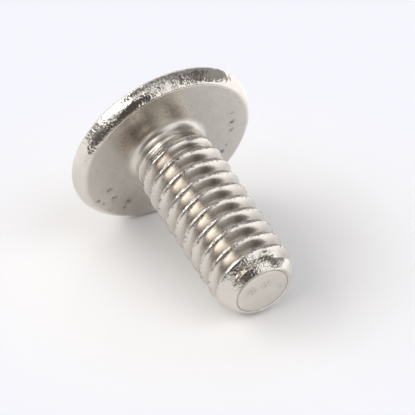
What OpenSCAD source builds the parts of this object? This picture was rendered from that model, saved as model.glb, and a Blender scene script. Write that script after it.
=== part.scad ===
// Truss head machine screw, quarter inch, 20 threads to the inch, nickel-plated steel.
// It lies on a flat surface, on the rim of its head and the last threads of its shank.
// The origin is the centre of the bearing face, under the head. Z is up, and the shank
// points along X and slopes down to its tip.

/* [Head] */
// Diameter of the head at its widest line
head_d = 14.55; // [14.2:0.05:15.5]
// Height of the head from the bearing face to the top of the dome
head_h = 3.75; // [3.55:0.05:4.4]
// Height of the rim from the bearing face to its widest line
rim_h = 1.1; // [0.9:0.05:1.3]
// Diameter of the flat bearing face
bearing_d = 13.3; // [12.8:0.05:13.4]

/* [Drive recess] */
// Span of the cross over its wings, at the dome
recess_d = 7.2; // [6.6:0.1:7.6]
// Depth of the cross below the top of the dome
recess_h = 3.2; // [2.6:0.1:3.2]
// Thickness of a wing of the cross
wing_t = 1.25; // [1:0.05:1.4]

/* [Shank] */
// Length from the bearing face to the tip
length = 14.6; // [11:0.1:25.4]
// Diameter over the thread crests
thread_d = 6.32; // [6.12:0.02:6.34]
// Distance from one thread crest to the next
pitch = 1.27; // [1:0.01:1.3]
// Angle that the thread is turned by about the shank
thread_turn = 295; // [0:5:355]
// Length of the plain neck between the head and the first thread
neck_h = 0.9; // [0.8:0.05:1.2]
// Radius of the fillet between the neck and the head
fillet_r = 0.7; // [0.6:0.05:0.75]
// Diameter of the flat end face at the tip
tip_d = 4.3; // [4:0.05:4.4]

/* [Hidden] */
$fn = 96;

head_r = head_d / 2;
bearing_r = bearing_d / 2;
// Circle that rounds the rim from the bearing face to the widest line
rim_inset = head_r - bearing_r;
rim_round = (rim_inset * rim_inset + rim_h * rim_h) / (2 * rim_inset);
// Small round from the widest line into the dome
edge_r = 0.3;
edge_x = head_r - edge_r;
// Dome through the top, tangent to the small round
dome_h = head_h - rim_h;
dome_r = (edge_x * edge_x + dome_h * dome_h - edge_r * edge_r) / (2 * (dome_h - edge_r));
dome_z = dome_r - head_h;
touch_x = edge_x * dome_r / (dome_r - edge_r);

// Cross recess: steep flanks outside, and a shallow cone at the bottom
recess_r = recess_d / 2;
flank_slope = tan(13.25);
bottom_slope = tan(25);
recess_sag = dome_r - sqrt(dome_r * dome_r - recess_r * recess_r);
recess_top_r = recess_r + recess_sag * flank_slope;
flank_h = (recess_h - bottom_slope * recess_top_r) / (1 - bottom_slope * flank_slope);
flank_low_r = recess_top_r - flank_slope * flank_h;
core_top_r = 1.2 * wing_t;
core_low_r = 0.75 * wing_t;
core_h = 0.75 * recess_h;
// Height that the cutters stand proud of the dome
proud = 0.5;

thread_r = thread_d / 2;
// Depth of an external sixty degree thread with a rounded root
thread_h = 0.6134 * pitch;
root_r = thread_r - thread_h;
// The blank is rolled at the pitch diameter
neck_r = thread_r - 0.3248 * pitch;
// First line of the thread: the rolling starts with a shoulder on the neck
shoulder_step = 0.1;
shoulder_r = neck_r + shoulder_step;
shoulder_h = 0.15;
// The first valleys are shallow: a cone fills them, and meets the root after this length
runout_h = 1.6 * pitch;
runout_sink = 0.06;
runout_low_r = root_r - runout_sink;
// The first crests are low: they rise to full height over this length
rise_h = 2 * pitch;
rise_gap = 0.05;
// The tip has a small round at the end face, and then a forty-five degree chamfer
tip_r = tip_d / 2;
tip_round = 0.25;
chamfer_x = tip_r + tip_round * sin(45);
chamfer_z = length - tip_round * (1 - cos(45));
// A gentler lead joins the chamfer to the last full crest
lead_h = 0.46;
lead_slope = tan(30);
lead_x = thread_r - lead_h;
lead_z = chamfer_z - (lead_x - chamfer_x);
full_z = lead_z - lead_h / lead_slope;
// Space outside the crests that the cutting profile leaves free
margin = 0.1;
// The fillet's circle reaches a little into the neck, and its outer end is on the bearing face
fillet_bite = 0.08;
fillet_x = neck_r - fillet_bite + fillet_r;

// Steps of the thread in one turn
steps = 44;
// One pitch of the thread section: fractions of the pitch, and depths below the crest
section_u = [0, 0.09, 0.17, 0.39, 0.50, 0.61, 0.83, 0.91];
section_h = [0, 0.04, 0.22, 0.92, 1, 0.92, 0.22, 0.04];
rows_in_pitch = len(section_u);
// The threaded solid starts inside the neck and runs on past the tip, to be cut at both ends
start_depth = 0.4;
start_z = neck_h - start_depth;
end_z = length + 0.3 * pitch;
row_gap = 0.04 * pitch;
// The list of rows has whole turns to spare at both ends
spare_turns = 3;
base_z = pitch * (floor(start_z / pitch) - spare_turns + thread_turn / 360);
rows = rows_in_pitch * ceil((end_z - base_z) / pitch + spare_turns);

// Slope of the screw when it rests on its rim and on the last full crest
lean = atan2(head_r - thread_r, full_z + rim_h);

function row_z(row, step) = base_z
    + pitch * (floor(row / rows_in_pitch) + section_u[row % rows_in_pitch] + step / steps);

function row_r(row) = thread_r - thread_h * section_h[row % rows_in_pitch];

// First and last rows of each step: they carry the two end rings
low_rows = [
    for (step = [0:steps - 1])
        max([for (row = [0:rows]) if (row_z(row, step) <= start_z + row_gap) row])
];
high_rows = [
    for (step = [0:steps - 1])
        min([for (row = [0:rows]) if (row_z(row, step) >= end_z - row_gap) row])
];

// Where the points of each step begin in the list
counts = [for (step = [0:steps - 1]) high_rows[step] - low_rows[step] + 1];
function total(list, last) = last < 0 ? 0 : list[last] + total(list, last - 1);
firsts = [for (step = [0:steps - 1]) total(counts, step - 1)];

function point_id(row, step) = let(
    turn_row = step == steps ? row + rows_in_pitch : row,
    own_step = step % steps,
    held_row = min(high_rows[own_step], max(low_rows[own_step], turn_row))
) firsts[own_step] + held_row - low_rows[own_step];

thread_points = [
    for (step = [0:steps - 1])
        for (row = [low_rows[step]:high_rows[step]])
            let(
                z = row == low_rows[step] ? start_z
                    : row == high_rows[step] ? end_z
                    : row_z(row, step),
                at_end = row == low_rows[step] || row == high_rows[step],
                r = at_end ? root_r : row_r(row),
                turn = 360 * step / steps
            )
            [r * cos(turn), r * sin(turn), z]
];

thread_faces = concat(
    [
        for (step = [0:steps - 1])
            for (row = [0:rows - 1])
                if (point_id(row, step) != point_id(row + 1, step))
                    [point_id(row, step), point_id(row + 1, step), point_id(row + 1, step + 1)]
    ],
    [
        for (step = [0:steps - 1])
            for (row = [0:rows - 1])
                if (point_id(row, step + 1) != point_id(row + 1, step + 1))
                    [point_id(row, step), point_id(row + 1, step + 1), point_id(row, step + 1)]
    ],
    [[for (step = [0:steps - 1]) point_id(0, step)]],
    [[for (step = [steps - 1:-1:0]) point_id(rows, step)]]
);

// Half section of the head: X is the radius, and Y is the height along the shank
module head_section() {
    intersection() {
        translate([0, dome_z])
            circle(r = dome_r);
        union() {
            translate([0, -head_h])
                square([touch_x, dome_h]);
            translate([edge_x, -rim_h])
                circle(r = edge_r);
            intersection() {
                translate([head_r - rim_round, -rim_h])
                    circle(r = rim_round);
                translate([0, -rim_h])
                    square([head_r, rim_h]);
            }
            translate([0, -rim_h])
                square([head_r - rim_round, rim_h]);
        }
    }
}

// Half section of the fillet between the bearing face and the neck
module fillet_section() {
    difference() {
        translate([0, -rim_h / 2])
            square([fillet_x, rim_h / 2 + fillet_r]);
        translate([fillet_x, fillet_r])
            circle(r = fillet_r);
    }
}

// Half section of the neck, its shoulder and the cone that fills the first valleys
module neck_section() {
    polygon([
        [0, -rim_h / 2],
        [neck_r, -rim_h / 2],
        [neck_r, neck_h - shoulder_h],
        [shoulder_r, neck_h],
        [runout_low_r, neck_h + runout_h],
        [0, neck_h + runout_h]
    ]);
}

module head() {
    rotate_extrude() {
        union() {
            head_section();
            fillet_section();
            neck_section();
        }
    }
}

// Cross recess, drawn from the top of the dome inwards
module recess() {
    translate([0, 0, -head_h]) {
        intersection() {
            rotate_extrude()
                polygon([
                    [0, -proud],
                    [recess_top_r + proud * flank_slope, -proud],
                    [flank_low_r, flank_h],
                    [0, recess_h]
                ]);
            union() {
                for (turn = [0, 90])
                    rotate([0, 0, turn])
                        translate([-recess_d, -wing_t / 2, -proud])
                            cube([2 * recess_d, wing_t, recess_h + 2 * proud]);
            }
        }
        translate([0, 0, -proud])
            cylinder(h = core_h + proud, r1 = core_top_r, r2 = core_low_r);
    }
}

// Everything that the thread stays inside: it lowers the first crests and rounds the tip
module shank_bounds() {
    rotate_extrude() {
        union() {
            polygon([
                [0, neck_h + rise_gap],
                [neck_r + rise_gap, neck_h + rise_gap],
                [thread_r + margin, neck_h + rise_h],
                [thread_r + margin, full_z - margin / lead_slope],
                [lead_x, lead_z],
                [chamfer_x, chamfer_z],
                [tip_r, length - tip_round],
                [tip_r, length],
                [0, length]
            ]);
            translate([tip_r, length - tip_round])
                circle(r = tip_round);
        }
    }
}

module shank() {
    intersection() {
        polyhedron(points = thread_points, faces = thread_faces);
        shank_bounds();
    }
}

module screw() {
    color([0.76, 0.74, 0.71])
        rotate([0, 90 + lean, 0])
            union() {
                difference() {
                    head();
                    recess();
                }
                shank();
            }
}

screw();
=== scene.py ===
"""Truss head machine screw in nickel plate, lying on its rim and its last threads."""
import math

import bmesh
import bpy
from mathutils import Matrix, Vector


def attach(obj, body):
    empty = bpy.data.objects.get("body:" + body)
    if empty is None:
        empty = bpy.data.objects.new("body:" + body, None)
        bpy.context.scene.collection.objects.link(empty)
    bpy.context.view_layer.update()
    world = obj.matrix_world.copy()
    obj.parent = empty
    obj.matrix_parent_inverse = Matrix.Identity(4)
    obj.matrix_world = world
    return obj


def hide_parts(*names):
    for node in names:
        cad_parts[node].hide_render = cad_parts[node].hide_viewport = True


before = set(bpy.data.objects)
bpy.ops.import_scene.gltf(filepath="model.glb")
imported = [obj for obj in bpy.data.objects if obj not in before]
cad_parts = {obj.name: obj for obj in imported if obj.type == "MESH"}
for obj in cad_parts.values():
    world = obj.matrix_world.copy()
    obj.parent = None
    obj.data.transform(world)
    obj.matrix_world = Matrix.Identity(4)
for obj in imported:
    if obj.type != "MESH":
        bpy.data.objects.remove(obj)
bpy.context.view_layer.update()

# Sizes in millimetres, the same as the solid part's
HEAD_R = 7.275
HEAD_H = 3.75
RIM_H = 1.1
BEARING_R = 6.65
EDGE_R = 0.3
RECESS_R = 3.6
RECESS_H = 3.2
WING_T = 1.25
LENGTH = 14.6
THREAD_R = 3.16
PITCH = 1.27
THREAD_H = 0.6134 * PITCH
THREAD_TURN = 295 / 360
NECK_R = THREAD_R - 0.3248 * PITCH
NECK_H = 0.9
SHOULDER_R = NECK_R + 0.1
SHOULDER_H = 0.15
FILLET_R = 0.7
FILLET_X = NECK_R - 0.08 + FILLET_R
RUNOUT_H = 1.6 * PITCH
RISE_H = 1.75 * PITCH
TIP_R = 2.15
TIP_ROUND = 0.25
CHAMFER_X = TIP_R + TIP_ROUND * math.sin(math.pi / 4)
CHAMFER_Z = LENGTH - TIP_ROUND * (1 - math.cos(math.pi / 4))
LEAD_H = 0.46
LEAD_SLOPE = math.tan(math.radians(30))
LEAD_X = THREAD_R - LEAD_H
LEAD_Z = CHAMFER_Z - (LEAD_X - CHAMFER_X)
FULL_Z = LEAD_Z - LEAD_H / LEAD_SLOPE
# The end face is a little off the shank's centre
OFFSET_START = FULL_Z - 1.2
TIP_OFFSET = (0.074, 0.177)
LEAN = math.atan2(HEAD_R - THREAD_R, FULL_Z + RIM_H)

MM = 0.001
STEPS = 160
ROWS_IN_PITCH = 24
THREAD_START = NECK_H - SHOULDER_H - 0.05

# The screw's own axes as they lie: its shank, and the side that is up
SHANK = Vector((math.cos(LEAN), 0.0, -math.sin(LEAN)))
UNDERSIDE = Vector((-math.sin(LEAN), 0.0, -math.cos(LEAN)))
LAY = Matrix.Rotation(math.pi / 2 + LEAN, 4, "Y") @ Matrix.Scale(MM, 4)

# Colours of the plating, from clean to darkest. The valley colour and the one after it are painted
# shade, in the thread's valleys and under the head, and the brown after them is a painted reflection of
# the shank under the head
BRIGHT_NICKEL = (0.765, 0.730, 0.682, 1)
WARM_NICKEL = (0.73, 0.694, 0.646, 1)
VALLEY_SHADE = (0.40, 0.355, 0.315, 1)
PAINTED_SHADE_NICKEL = (0.36, 0.325, 0.30, 1)
SHANK_REFLECTION_BROWN = (0.36, 0.30, 0.26, 1)
PIT_GREY = (0.26, 0.235, 0.22, 1)
WORN_SEAM = (0.16, 0.13, 0.115, 1)
MARK_AND_GROOVE_DARK = (0.15, 0.125, 0.115, 1)

# Places on the screw, in millimetres from the shank's centre line: first towards the side
# that is up, then along Y
SCUFFED_SIDE = (-0.916, -0.402)
# The next two are centres of painted marks under the head: the shank's painted reflection, and painted
# shade near the floor contact
SHANK_REFLECTION_PLACE = (-2.9, -3.3)
CONTACT_SHADE_PLACE = (5.2, -2.2)
# Place and size of each handling mark
UNDERSIDE_MARKS = (
    (2.52, -4.49, 0.30), (3.64, -3.92, 0.34), (3.40, -5.29, 0.30), (3.86, -4.73, 0.24),
    (4.52, -2.63, 0.42), (5.08, -2.89, 0.26), (-2.10, 5.09, 0.26), (-1.01, 5.34, 0.34),
    (-0.11, 5.39, 0.30), (2.10, 4.88, 0.34), (1.47, 5.21, 0.22),
)
END_FACE_MARKS = ((-0.35, -0.95, 0.75), (-0.66, 0.15, 0.60), (-0.08, 1.60, 0.45))

# Groove round the end face: how far in from the face's edge it starts and ends, and its depth
GROOVE_OUT = 0.03
GROOVE_IN = 0.17
GROOVE_DEPTH = 0.03

# Board under the screw: the point that its light falls off from, and its colours
BOARD_CENTRE_X = 5
BOARD_PALE = (0.91, 0.91, 0.925, 1)
BOARD_GLOW = (0.98, 0.98, 1.0, 1)
# The dark colour is a painted reflection of the dark camera side, which only the metal sees
CAMERA_SIDE_DARK = (0.14, 0.13, 0.12, 1)
PAPER_WHITE = (0.915, 0.915, 0.99, 1)


class Term:
    """A value in a node tree. Sums, products and the rest add the Math nodes."""

    def __init__(self, plan, socket):
        self.plan = plan
        self.socket = socket

    def __add__(self, other):
        return self.plan.math("ADD", self, other)

    __radd__ = __add__

    def __sub__(self, other):
        return self.plan.math("SUBTRACT", self, other)

    def __rsub__(self, other):
        return self.plan.math("SUBTRACT", other, self)

    def __mul__(self, other):
        return self.plan.math("MULTIPLY", self, other)

    __rmul__ = __mul__

    def __truediv__(self, other):
        return self.plan.math("DIVIDE", self, other)

    def __rtruediv__(self, other):
        return self.plan.math("DIVIDE", other, self)

    def __pow__(self, other):
        return self.plan.math("POWER", self, other)


class Plan:
    """A node tree under construction."""

    def __init__(self, tree):
        self.tree = tree

    def node(self, kind, settings=None, inputs=None, output=0):
        made = self.tree.nodes.new(kind)
        for name, value in (settings or {}).items():
            setattr(made, name, value)
        for name, value in (inputs or {}).items():
            if isinstance(value, Term):
                self.tree.links.new(value.socket, made.inputs[name])
            else:
                made.inputs[name].default_value = value
        return Term(self, made.outputs[output]) if len(made.outputs) else made

    def math(self, operation, *terms, clamp=False):
        settings = {"operation": operation, "use_clamp": clamp}
        return self.node("ShaderNodeMath", settings, dict(enumerate(terms)))

    def smooth(self, value, low, high):
        """0 below low and 1 above high, with a soft change between."""
        part = self.math("DIVIDE", value - low, high - low, clamp=True)
        return part * part * (3 - 2 * part)

    def band(self, value, low, high, soft):
        """1 between low and high, falling to 0 within soft outside them."""
        return self.smooth(value, low - soft, low) * (1 - self.smooth(value, high, high + soft))

    def dot(self, vector, axis):
        """How far a vector reaches along an axis."""
        settings = {"operation": "DOT_PRODUCT"}
        return self.node("ShaderNodeVectorMath", settings, {0: vector, 1: axis}, "Value")

    def point(self, x, y, z):
        return self.node("ShaderNodeCombineXYZ", None, {0: x, 1: y, 2: z})

    def away(self, x, y, centre):
        """Distance from a centre, seen along the third axis."""
        return self.math("SQRT", (x - centre[0]) ** 2 + (y - centre[1]) ** 2)

    def mix(self, factor, first, second):
        """The first colour at 0, the second at 1."""
        return self.node("ShaderNodeMix", {"data_type": "RGBA"}, {0: factor, 6: first, 7: second}, 2)

    def noise(self, vector, scale, detail=2.0, roughness=0.5):
        return self.node("ShaderNodeTexNoise", None,
                         {"Vector": vector, "Scale": scale, "Detail": detail, "Roughness": roughness})


def make_object(name, mesh):
    made = bpy.data.objects.new(name, mesh)
    bpy.context.collection.objects.link(made)
    return made


def settle(obj):
    """Turns an object with its modifiers into a plain mesh."""
    graph = bpy.context.evaluated_depsgraph_get()
    mesh = bpy.data.meshes.new_from_object(obj.evaluated_get(graph))
    obj.modifiers.clear()
    obj.data = mesh
    return obj


def combine(target, tool, operation):
    """Joins, cuts or intersects two closed pieces, and drops the second."""
    change = target.modifiers.new("combine", "BOOLEAN")
    change.operation = operation
    change.solver = "EXACT"
    change.object = tool
    settle(target)
    bpy.data.objects.remove(tool)
    return target


def thread_tree():
    """The thread: a sheared grid wrapped round the shank, one turn to a pitch."""
    tree = bpy.data.node_groups.new("rolled thread", "GeometryNodeTree")
    face = tree.interface
    face.new_socket("Geometry", in_out="OUTPUT", socket_type="NodeSocketGeometry")
    sizes = {
        "Pitch": PITCH,
        "Crest radius": THREAD_R,
        "Depth": THREAD_H,
        "End": CHAMFER_Z,
        "Turn": THREAD_TURN,
    }
    for name, value in sizes.items():
        face.new_socket(name, in_out="INPUT", socket_type="NodeSocketFloat").default_value = value
    face.new_socket("Material", in_out="INPUT", socket_type="NodeSocketMaterial")
    plan = Plan(tree)
    given = tree.nodes.new("NodeGroupInput")
    size = {name: Term(plan, given.outputs[name]) for name in sizes}
    turns = math.ceil((LENGTH - THREAD_START) / PITCH) + 3
    rows = turns * ROWS_IN_PITCH
    grid = plan.node("GeometryNodeMeshGrid", None,
                     {"Size X": 1.0, "Size Y": 1.0, "Vertices X": STEPS + 1, "Vertices Y": rows + 1})
    place = plan.node("GeometryNodeInputPosition")
    split = plan.node("ShaderNodeSeparateXYZ", None, {0: place})
    along_turn = split + 0.5
    along_rows = (Term(plan, split.socket.node.outputs[1]) + 0.5) * turns
    first = math.floor(THREAD_START / PITCH) - 2
    height = size["Pitch"] * (along_rows + along_turn + size["Turn"] + first)
    z = plan.math("MINIMUM", plan.math("MAXIMUM", height, THREAD_START), size["End"])
    # Section: 0 on the crest and 0.5 in the root, which is rounded
    off = plan.math("ABSOLUTE", plan.math("FRACT", along_rows + 0.5) - 0.5)
    flank = plan.math("SMOOTH_MAX", (off - 0.07) * 2.5, 0.0, 0.12)
    depth = plan.math("SMOOTH_MIN", flank, 1.0, 0.35)
    radius = size["Crest radius"] - size["Depth"] * depth
    # The first valleys are shallow, and the first crests low
    root = THREAD_R - THREAD_H
    fill = SHOULDER_R - (z - NECK_H) * ((SHOULDER_R - root + 0.06) / RUNOUT_H)
    radius = plan.math("SMOOTH_MAX", radius, fill, 0.08)
    rise = SHOULDER_R + 0.05 + (z - NECK_H) * ((THREAD_R - SHOULDER_R) / RISE_H)
    radius = plan.math("SMOOTH_MIN", radius, rise, 0.08)
    # Faint rings that the dies leave where the thread starts
    early = 1 - plan.smooth(z, NECK_H + 0.8 * PITCH, NECK_H + 2 * PITCH)
    rings = plan.math("SINE", (along_rows * 3 + 0.3) * math.tau)
    radius = radius + rings * early * 0.018
    shoulder = plan.smooth(z, NECK_H - SHOULDER_H, NECK_H + 0.02)
    radius = NECK_R + (radius - NECK_R) * shoulder
    # The tip: a gentle lead, and then a chamfer
    chamfer = CHAMFER_X + (size["End"] - z)
    lead = LEAD_X + (LEAD_Z - z) * LEAD_SLOPE
    soft = plan.math("SMOOTH_MIN", radius, plan.math("SMOOTH_MIN", chamfer, lead, 0.05), 0.08)
    hard = plan.math("MINIMUM", radius, chamfer)
    fade = plan.smooth(size["End"] - z, 0.0, 0.2)
    radius = soft * fade + hard * (1 - fade)
    angle = along_turn * math.tau
    spot = plan.point(radius * plan.math("COSINE", angle), radius * plan.math("SINE", angle), z)
    wrapped = plan.node("GeometryNodeSetPosition", None, {"Geometry": grid, "Position": spot})
    merged = plan.node("GeometryNodeMergeByDistance", None, {"Geometry": wrapped, "Distance": 0.0008})
    whole = plan.node("GeometryNodeRealizeInstances", None, {"Geometry": merged})
    dressed = plan.node("GeometryNodeSetMaterial", None,
                        {"Geometry": whole, "Material": Term(plan, given.outputs["Material"])})
    plan.node("NodeGroupOutput", None, {"Geometry": dressed})
    return tree


def make_thread(material):
    """The threaded shank, from inside the neck to the tip's chamfer."""
    thread = make_object("thread", bpy.data.meshes.new("thread"))
    wrap = thread.modifiers.new("thread", "NODES")
    wrap.node_group = thread_tree()
    for item in wrap.node_group.interface.items_tree:
        if item.in_out == "INPUT" and item.name == "Material":
            wrap[item.identifier] = material
    return settle(thread)


def arc(cx, cz, radius, start, end, count):
    """Points on a circle of the section, angles in degrees from the X direction."""
    points = []
    for i in range(count + 1):
        turn = math.radians(start + (end - start) * i / count)
        points.append((cx + radius * math.cos(turn), cz + radius * math.sin(turn)))
    return points


def head_section():
    """From the thread's first ring over the neck, the bearing face, the rim and the dome to the top."""
    inset = HEAD_R - BEARING_R
    rim_round = (inset * inset + RIM_H * RIM_H) / (2 * inset)
    edge_x = HEAD_R - EDGE_R
    dome_h = HEAD_H - RIM_H
    dome_r = (edge_x ** 2 + dome_h ** 2 - EDGE_R ** 2) / (2 * (dome_h - EDGE_R))
    dome_z = dome_r - HEAD_H
    meet = math.degrees(math.atan2(-RIM_H - dome_z, edge_x))
    rim_start = math.degrees(math.asin(RIM_H / rim_round))
    bite = 180 + math.degrees(math.acos((FILLET_X - NECK_R) / FILLET_R))
    points = [(NECK_R, THREAD_START)] + arc(FILLET_X, FILLET_R, FILLET_R, bite, 270, 10)
    steps = 22
    last = points[-1][0]
    flat_end = BEARING_R - 0.06
    points += [(last + (flat_end - last) * i / steps, 0.0) for i in range(1, steps + 1)]
    rim = arc(HEAD_R - rim_round, -RIM_H, rim_round, rim_start, 0, 16)
    points += [(BEARING_R - 0.025, -0.004), (BEARING_R + 0.012, -0.03)]
    points += [(x, z) for x, z in rim if z < -0.06]
    points += arc(edge_x, -RIM_H, EDGE_R, 0, meet, 6)[1:]
    points += arc(0, dome_z, dome_r, meet, -90, 46)[1:-1]
    return points, (0.0, -HEAD_H)


def revolve(sections, pole_first=None, pole_last=None, steps=STEPS):
    """A closed or open shell of revolution about Z, from section points (radius, height)."""
    shell = bmesh.new()
    rings = []
    for radius, height in sections:
        ring = []
        for i in range(steps):
            turn = math.tau * i / steps
            ring.append(shell.verts.new((radius * math.cos(turn), radius * math.sin(turn), height)))
        rings.append(ring)
    for lower, upper in zip(rings, rings[1:]):
        for i in range(steps):
            j = (i + 1) % steps
            shell.faces.new((lower[i], upper[i], upper[j], lower[j]))
    for pole, ring, flip in ((pole_first, rings[0], False), (pole_last, rings[-1], True)):
        if pole is None:
            continue
        centre = shell.verts.new((0, 0, pole[1]))
        for i in range(steps):
            j = (i + 1) % steps
            corners = (centre, ring[i], ring[j])
            shell.faces.new(corners[::-1] if flip else corners)
    return shell


def make_head():
    """The head with the fillet and the neck, open where the thread joins it."""
    points, top = head_section()
    shell = revolve(points, None, top)
    mesh = bpy.data.meshes.new("head")
    shell.to_mesh(mesh)
    shell.free()
    return make_object("head", mesh)


def make_tip_face():
    """The end face, with the fine groove round it and the small round outside."""
    points = arc(TIP_R, LENGTH - TIP_ROUND, TIP_ROUND, 45, 90, 6)
    low = LENGTH - GROOVE_DEPTH
    points += [(TIP_R - GROOVE_OUT, LENGTH), (TIP_R - 0.07, low), (TIP_R - 0.12, low)]
    flat = TIP_R - GROOVE_IN
    points += [(flat * (9 - i) / 9, LENGTH) for i in range(9)]
    shell = revolve(points, None, (0, LENGTH))
    mesh = bpy.data.meshes.new("tip face")
    shell.to_mesh(mesh)
    shell.free()
    return make_object("tip_face", mesh)


def make_recess_tool():
    """What the cross recess takes out of the dome."""
    edge_x = HEAD_R - EDGE_R
    dome_h = HEAD_H - RIM_H
    dome_r = (edge_x ** 2 + dome_h ** 2 - EDGE_R ** 2) / (2 * (dome_h - EDGE_R))
    flank, bottom = math.tan(math.radians(13.25)), math.tan(math.radians(25))
    sag = dome_r - math.sqrt(dome_r ** 2 - RECESS_R ** 2)
    top_r = RECESS_R + sag * flank
    flank_h = (RECESS_H - bottom * top_r) / (1 - bottom * flank)
    low_r = top_r - flank * flank_h
    proud = 0.5
    core_top, core_low, core_h = 1.2 * WING_T, 0.75 * WING_T, 0.75 * RECESS_H

    def cone(name, points, first, last):
        shell = revolve([(r, z - HEAD_H) for r, z in points],
                        (0, first - HEAD_H), (0, last - HEAD_H), 48)
        bmesh.ops.recalc_face_normals(shell, faces=shell.faces)
        mesh = bpy.data.meshes.new(name)
        shell.to_mesh(mesh)
        shell.free()
        return make_object(name, mesh)

    def wing(name, long_x, long_y):
        shell = bmesh.new()
        bmesh.ops.create_cube(shell, size=1.0)
        bmesh.ops.scale(shell, vec=(long_x, long_y, RECESS_H + 2 * proud), verts=shell.verts)
        bmesh.ops.translate(shell, vec=(0, 0, RECESS_H / 2 - HEAD_H), verts=shell.verts)
        mesh = bpy.data.meshes.new(name)
        shell.to_mesh(mesh)
        shell.free()
        return make_object(name, mesh)

    cross = combine(wing("wings", 12, WING_T), wing("wings_across", WING_T, 12), "UNION")
    bounds = cone("flanks", [(top_r + proud * flank, -proud), (low_r, flank_h)], -proud, RECESS_H)
    cross = combine(cross, bounds, "INTERSECT")
    core = cone("core", [(core_top, -proud), (core_low, core_h)], -proud, core_h)
    return combine(cross, core, "UNION")


def make_screw(material):
    """Joins the pieces in one closed shell, cuts the recess and lays the screw down."""
    head, thread, tip = make_head(), make_thread(material), make_tip_face()
    whole = bmesh.new()
    for piece in (head, thread, tip):
        whole.from_mesh(piece.data)
        bpy.data.objects.remove(piece)
    bmesh.ops.remove_doubles(whole, verts=whole.verts, dist=0.002)
    bmesh.ops.dissolve_degenerate(whole, edges=whole.edges, dist=0.0005)
    bmesh.ops.recalc_face_normals(whole, faces=whole.faces)
    for vert in whole.verts:
        part = max(0.0, vert.co.z - OFFSET_START) / (LENGTH - OFFSET_START)
        vert.co.x += TIP_OFFSET[0] * part * part
        vert.co.y += TIP_OFFSET[1] * part * part
    mesh = bpy.data.meshes.new("screw")
    whole.to_mesh(mesh)
    whole.free()
    screw = make_object("screw_plated", mesh)
    combine(screw, make_recess_tool(), "DIFFERENCE")
    screw.data.transform(LAY)
    screw.data.materials.clear()
    screw.data.materials.append(material)
    screw.data.shade_smooth()
    screw.data.set_sharp_from_angle(angle=math.radians(32))
    return screw


def handling_marks(plan, x, y, places):
    """Small dark marks from handling: places gives x, y and size in millimetres."""
    total = None
    for mark_x, mark_y, size in places:
        away = plan.away(x, y, (mark_x, mark_y))
        mark = 1 - plan.smooth(away, size * 0.25, size)
        total = mark if total is None else plan.math("MAXIMUM", total, mark)
    return total


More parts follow.
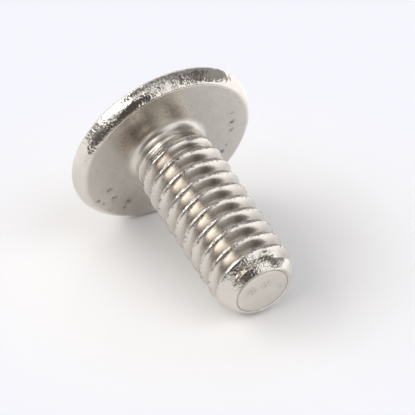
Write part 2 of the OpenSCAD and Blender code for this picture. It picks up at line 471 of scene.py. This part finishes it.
def nickel_plate():
    """Bright nickel: turned and satin under the head, rough on the rim, rolled on the thread."""
    material = bpy.data.materials.new("nickel plate")
    material.use_nodes = True
    tree = material.node_tree
    tree.nodes.clear()
    plan = Plan(tree)
    place = plan.node("ShaderNodeTexCoord", None, None, "Object")
    spot = plan.node("ShaderNodeVectorMath", {"operation": "SCALE"}, {0: place, "Scale": 1000.0})
    s, x, y = plan.dot(spot, tuple(SHANK)), plan.dot(spot, tuple(UNDERSIDE)), plan.dot(spot, (0, 1, 0))
    radius = plan.math("SQRT", x * x + y * y)
    turn = plan.math("ARCTAN2", y, x) / math.tau

    # Where each finish is
    rim = plan.smooth(radius, BEARING_R - 0.02, BEARING_R + 0.06) * plan.band(s, -1.15, 0.1, 0.12)
    underside = plan.band(s, -0.02, 0.03, 0.03) * (1 - plan.smooth(radius, BEARING_R - 0.1, BEARING_R))
    thread = plan.smooth(s, NECK_H - 0.1, NECK_H + 0.3)
    neck = plan.band(s, 0.05, NECK_H, 0.1) * (1 - plan.smooth(radius, FILLET_X, FILLET_X + 0.3))
    face = plan.smooth(s, LENGTH - 0.06, LENGTH - 0.04)
    face = face * (1 - plan.smooth(radius, TIP_R - 0.01, TIP_R + 0.04))
    groove = plan.band(radius, TIP_R - 0.12, TIP_R - 0.06, 0.03) * face
    tip = plan.smooth(s, FULL_Z - 0.1, FULL_Z + 0.1)
    chamfer = tip * (1 - face)
    rolled = thread * (1 - tip)

    # The side where the rim and the tip are scuffed
    scuffed = plan.smooth((x * SCUFFED_SIDE[0] + y * SCUFFED_SIDE[1]) / radius, 0.42, 0.88)

    # Distance from the crest line, in millimetres along the shank
    crest = (plan.math("FRACT", s / PITCH - turn - THREAD_TURN + 0.5) - 0.5) * PITCH
    off_crest = plan.math("ABSOLUTE", crest)
    valley = plan.smooth(off_crest, 0.14 * PITCH, 0.40 * PITCH) * rolled

    fine = plan.noise(spot, 5.5, 2.0, 0.6)
    grain = plan.noise(spot, 9.0, 2.0, 0.6)
    pits = plan.noise(spot, 5.6, 1.0, 0.5)
    dents = plan.noise(spot, 1.7, 1.0, 0.5)
    broad = plan.noise(spot, 0.9, 2.0, 0.5)
    patches = scuffed * (0.25 + 0.75 * plan.smooth(plan.noise(spot, 0.75, 1.0, 0.5), 0.44, 0.56))
    rough_rim = rim * (0.18 + 0.82 * patches)
    round_lines = plan.noise(plan.point(radius * 4.2, turn * 7, s * 2), 1.0, 1.0)
    rolled_lines = plan.noise(plan.point(crest * 16, turn * 26, s * 0.7), 1.0, 3.0)

    # The seam that rolling leaves along the crest, with nicks in it
    nicked = plan.smooth(plan.noise(spot, 2.6, 2.0, 0.6), 0.40, 0.60)
    strokes = plan.noise(plan.point(crest * 8, turn * 70, s * 1.5), 1.0, 1.0)
    seam = (1 - plan.smooth(off_crest, 0.03, 0.075)) * rolled * (0.35 + 0.65 * nicked)
    nicks = (1 - plan.smooth(off_crest, 0.08, 0.22)) * plan.smooth(strokes, 0.52, 0.62) * nicked * rolled

    # Marks from handling, painted shade, a painted reflection of the shank, and the colour of the
    # plating
    under_marks = handling_marks(plan, x, y, UNDERSIDE_MARKS) * plan.smooth(fine, 0.40, 0.56) * underside
    face_marks = handling_marks(plan, x, y, END_FACE_MARKS) * plan.smooth(grain, 0.52, 0.62) * face
    marks = plan.math("MAXIMUM", under_marks, face_marks * 0.9)

    tone = plan.mix(plan.smooth(broad, 0.3, 0.7), BRIGHT_NICKEL, WARM_NICKEL)
    # Painted shade: the thread's valleys drawn darker than the crests
    tone = plan.mix(valley * 0.50, tone, VALLEY_SHADE)
    # Painted reflection: the shank's dark reflection in the underside beside the neck, drawn in brown
    shank_reflection = (1 - plan.smooth(plan.away(x, y, SHANK_REFLECTION_PLACE), 0.4, 2.1)) * underside
    tone = plan.mix(shank_reflection * 0.78, tone, SHANK_REFLECTION_BROWN)
    # Painted shade: the underside and the rim a little darker all over, and the underside's low edge
    # darker still, where it mirrors the floor in the screw's shadow
    contact_shade = (1 - plan.smooth(plan.away(x, y, CONTACT_SHADE_PLACE), 0.6, 3.0)) * underside
    painted_shade = underside * 0.10 + contact_shade * 0.28 + rim * 0.06
    tone = plan.mix(painted_shade, tone, PAINTED_SHADE_NICKEL)
    specks = (1 - plan.smooth(pits, 0.38, 0.50)) * patches * (rim + chamfer)
    tone = plan.mix(specks * 0.6, tone, PIT_GREY)
    worn = plan.math("MAXIMUM", seam * 0.40, nicks * 0.75)
    tone = plan.mix(worn, tone, WORN_SEAM)
    # Handling marks, and the groove round the end face drawn darker
    marks_and_groove = plan.math("MAXIMUM", marks * 0.85, groove * 0.55)
    tone = plan.mix(marks_and_groove, tone, MARK_AND_GROOVE_DARK)

    # How rough it is, and the small relief in it, in millimetres
    rough = 0.15 + underside * 0.11 + neck * 0.18 + face * 0.17 + rolled * 0.05 + valley * 0.08
    rough = rough + (fine - 0.5) * 0.10 - rim * 0.04 + marks * 0.2 + seam * 0.1

    height = (fine - 0.5) * (0.003 - underside * 0.002)
    height = height + round_lines * (underside * 0.004 + neck * 0.015)
    height = height + rolled_lines * (rolled * 0.0035)
    height = height + pits * (rough_rim * 0.06 + chamfer * (0.008 + scuffed * 0.03))
    height = height + dents * (rim * 0.05 + chamfer * 0.03) + grain * 0.001
    height = height - seam * 0.026 - nicks * 0.034 - marks * 0.006
    bump = plan.node("ShaderNodeBump", None, {"Strength": 1.0, "Distance": MM, "Height": height})

    shader = plan.node("ShaderNodeBsdfPrincipled", None, {
        "Metallic": 1.0, "Base Color": tone, "Roughness": rough, "Normal": bump,
    })
    plan.node("ShaderNodeOutputMaterial", None, {0: shader})
    return material


def make_floor(height):
    """A pale board. The camera and the metal see it a little brighter than it is lit."""
    shell = bmesh.new()
    bmesh.ops.create_grid(shell, x_segments=1, y_segments=1, size=1.5)
    bmesh.ops.translate(shell, vec=(0, 0, height), verts=shell.verts)
    mesh = bpy.data.meshes.new("floor")
    shell.to_mesh(mesh)
    shell.free()
    material = bpy.data.materials.new("pale board")
    material.use_nodes = True
    tree = material.node_tree
    tree.nodes.clear()
    plan = Plan(tree)
    place = plan.node("ShaderNodeTexCoord", None, None, "Object")
    x, y = plan.dot(place, (1000.0, 0, 0)), plan.dot(place, (0, 1000.0, 0))
    away = plan.away(x, y, (BOARD_CENTRE_X, 0))
    side = plan.math("ARCTAN2", y, x - BOARD_CENTRE_X) * math.degrees(1)
    front = plan.smooth(away, 14, 26) * plan.band(side, -82, 0, 14)
    board = plan.node("ShaderNodeBsdfDiffuse", None, {0: BOARD_PALE, 1: 0.0})
    # Output 0 of this node is Is Camera Ray
    camera = plan.node("ShaderNodeLightPath")
    glossy = Term(plan, camera.socket.node.outputs["Is Glossy Ray"])
    far = plan.smooth(away, 14, 30)
    right = plan.band(side, 5, 125, 14)
    lift = camera * 0.04 + glossy * (right * 0.05 + far * (0.16 + right * 0.20))
    glow_colour = plan.mix(lift, (0, 0, 0, 1), BOARD_GLOW)
    glow = plan.node("ShaderNodeEmission", None, {0: glow_colour, 1: 1.0})
    lifted = plan.node("ShaderNodeAddShader", None, {0: board, 1: glow})
    # In front, and only in the metal's reflections, the board is painted dark: a painted reflection of
    # the dark camera side. Far away the camera sees plain paper
    camera_side_dark = plan.node("ShaderNodeBsdfDiffuse", None, {0: CAMERA_SIDE_DARK, 1: 0.0})
    mirrored = plan.node("ShaderNodeMixShader", None, {0: front * glossy, 1: lifted, 2: camera_side_dark})
    paper = plan.node("ShaderNodeEmission", None, {0: PAPER_WHITE, 1: 1.0})
    background = plan.smooth(away, 10, 26) * camera * 0.9
    surface = plan.node("ShaderNodeMixShader", None, {0: background, 1: mirrored, 2: paper})
    plan.node("ShaderNodeOutputMaterial", None, {0: surface})
    mesh.materials.append(material)
    return make_object("floor", mesh)


# The photograph's view: where the camera stands, and how large a millimetre is in it
FRAME_SIZE = 415
SENSOR = 36.0
VIEW_TILT = math.radians(32.65)
VIEW_ROLL = math.radians(55.9)
PIXELS_PER_MM = 13.635
DISTANCE = 405.0
ORIGIN_X, ORIGIN_Y = 167.3, 150.7


def camera_axes():
    """The level camera that sees the shank at the photograph's tilt and roll: back, right, up."""
    azimuth = math.asin(-math.cos(VIEW_TILT) * math.cos(VIEW_ROLL) / math.cos(LEAN))
    flat, drop = math.cos(LEAN) * math.cos(azimuth), math.sin(LEAN)
    rise = math.cos(VIEW_TILT) * math.sin(VIEW_ROLL) / math.hypot(flat, drop)
    elevation = math.asin(rise) - math.atan2(drop, flat)
    level = math.cos(elevation)
    back = Vector((level * math.cos(azimuth), level * math.sin(azimuth), math.sin(elevation)))
    right = Vector((-math.sin(azimuth), math.cos(azimuth), 0))
    return back, right, back.cross(right)


def make_camera():
    """The camera at the photograph's angle, with the screw at the same place in the picture."""
    back, right, up = camera_axes()
    half = FRAME_SIZE / 2
    across = right * ((ORIGIN_X - half) / PIXELS_PER_MM)
    above = up * ((half - ORIGIN_Y) / PIXELS_PER_MM)
    place = (back * DISTANCE - across - above) * MM
    data = bpy.data.cameras.new("camera")
    data.sensor_width = SENSOR
    data.lens = PIXELS_PER_MM * DISTANCE * SENSOR / FRAME_SIZE
    data.clip_start, data.clip_end = 0.01, 10
    camera = bpy.data.objects.new("camera", data)
    turned = Matrix((right, up, back)).transposed().to_4x4()
    turned.translation = place
    camera.matrix_world = turned
    bpy.context.collection.objects.link(camera)
    bpy.context.scene.camera = camera


# Studio panels round the screw, each laid over the ones before it: azimuth and elevation
# from and to in degrees, softness of the edge, and colour. Azimuth 0 is the way the shank points.
PANELS = (
    ("ceiling", -200, 200, 66, 95, 6, (0.55, 0.55, 0.55)),
    ("dark ceiling behind", 85, 200, 62, 84, 6, (0.26, 0.25, 0.245)),
    ("dark ceiling, other side", -200, -150, 62, 84, 6, (0.26, 0.25, 0.245)),
    ("wall behind", 132, 200, -10, 56, 8, (0.80, 0.80, 0.81)),
    ("wall behind, other side", -200, -150, -10, 56, 8, (0.80, 0.80, 0.81)),
    ("bright board behind", 128, 200, -10, 24, 6, (1.30, 1.30, 1.32)),
    ("bright board, other side", -200, -146, -10, 24, 6, (1.30, 1.30, 1.32)),
    ("dark wall behind right", 88, 130, 8, 60, 8, (0.34, 0.33, 0.325)),
    ("dark gap over the soft box", -138, -56, 53, 66, 5, (0.15, 0.14, 0.135)),
    ("soft box", -156, -50, 21, 48, 8, (2.96, 2.87, 2.72)),
    ("front left board", -78, -50, 14, 32, 6, (1.05, 1.04, 1.02)),
    ("left wall", -132, -46, -10, 13, 6, (0.34, 0.33, 0.32)),
    ("window over the front", -42, 16, 52, 67, 6, (1.15, 1.13, 1.11)),
    ("camera side", -42, -8, -10, 43, 8, (0.10, 0.09, 0.08)),
    ("front board", 8, 32, -10, 42, 7, (1.20, 1.19, 1.17)),
    ("dark wall right", 40, 92, -10, 56, 8, (0.16, 0.148, 0.14)),
    ("table edge right", 58, 118, -10, 27, 8, (0.36, 0.35, 0.34)),
)


def make_studio():
    """The world round the screw: what the metal mirrors, and most of the light."""
    world = bpy.data.worlds.new("studio")
    bpy.context.scene.world = world
    world.use_nodes = True
    tree = world.node_tree
    tree.nodes.clear()
    plan = Plan(tree)
    way = plan.node("ShaderNodeTexCoord", None, None, "Generated")
    x, y, z = (plan.dot(way, axis) for axis in ((1, 0, 0), (0, 1, 0), (0, 0, 1)))
    azimuth = plan.math("ARCTAN2", y, x) * math.degrees(1)
    elevation = plan.math("ARCSINE", z) * math.degrees(1)
    level = (0.62, 0.62, 0.62, 1)
    for _, left, right, low, high, soft, colour in PANELS:
        panel = plan.band(azimuth, left, right, soft) * plan.band(elevation, low, high, soft)
        level = plan.mix(panel, level, (*colour, 1))
    sky = plan.node("ShaderNodeBackground", None, {0: level, 1: 1.0})
    plan.node("ShaderNodeOutputWorld", None, {0: sky})


def make_lamp():
    """A soft lamp on the right: it lights the floor, and the shadow falls to the left."""
    light = bpy.data.lights.new("soft lamp", "SUN")
    light.energy = 0.6
    light.angle = math.radians(35)
    lamp = bpy.data.objects.new("soft lamp", light)
    bpy.context.collection.objects.link(lamp)
    lamp.rotation_euler = Vector((0.55, 0.62, 0.9)).to_track_quat("Z", "Y").to_euler()
    lamp.visible_glossy = False


def main():
    nickel = nickel_plate()
    screw = make_screw(nickel)
    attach(screw, "root")
    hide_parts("screw")
    lowest = min(v.co.z for v in screw.data.vertices)
    make_floor(lowest)
    make_camera()
    make_studio()
    make_lamp()
    bpy.context.scene.view_settings.view_transform = "Standard"


main()
